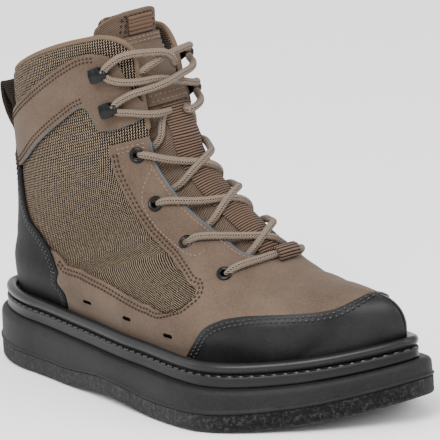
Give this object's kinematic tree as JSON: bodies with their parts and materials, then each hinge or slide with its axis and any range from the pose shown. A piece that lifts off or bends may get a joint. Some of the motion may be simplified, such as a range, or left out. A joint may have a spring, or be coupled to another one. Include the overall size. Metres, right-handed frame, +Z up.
{
  "type": "wading boot",
  "caption": "Ankle-high wading boot with a felt sole, rubber toe, laced throat, padded tongue and hollow upper.",
  "frame": {"origin": "on the floor, under the middle of the heel's flat spot", "axes": "+X to the toe, +Y to the wearer's left, +Z up"},
  "size_m": [0.325, 0.1307, 0.2211],
  "materials": {
    "black_leather": "brushed matte coating",
    "black_metal": "gloss black",
    "felt": "matte fibrous felt",
    "insole_foam": "foam with a cloth face",
    "lace_rope": "braided rope",
    "loop_webbing": "dark webbing",
    "mesh_cloth": "coarse woven mesh",
    "nubuck": "matte nubuck",
    "rubber": "satin rubber",
    "slab": "matte speckled rubber",
    "tongue_cloth": "ribbed cloth",
    "webbing": "ribbed webbing"
  },
  "bodies": {
    "root": {"outsole_felt": "felt", "midsole": "slab", "rand": "rubber", "welt_bead": "rubber", "upper": "mesh_cloth", "insole": "insole_foam", "leather_vamp_and_quarters": "nubuck", "heel_counter": "black_leather", "toe_cap": "black_leather", "collar_strap": "nubuck", "tongue": "tongue_cloth", "tongue_tab": "webbing", "tongue_panel": "nubuck", "tongue_webbing": "webbing", "pull_loop": "loop_webbing", "lace_keeper": "webbing", "lace_bar": "lace_rope", "lace_crossing_1": "lace_rope", "lace_crossing_2": "lace_rope", "lace_crossing_3": "lace_rope", "lace_at_hooks": "lace_rope", "eyelet_outer_1": "black_metal", "eyelet_outer_2": "black_metal", "eyelet_outer_3": "black_metal", "eyelet_outer_4": "black_metal", "hook_outer_1": "black_metal", "hook_outer_2": "black_metal", "eyelet_inner_1": "black_metal", "eyelet_inner_2": "black_metal", "eyelet_inner_3": "black_metal", "eyelet_inner_4": "black_metal", "hook_inner_1": "black_metal", "hook_inner_2": "black_metal"}
  },
  "joints": []
}
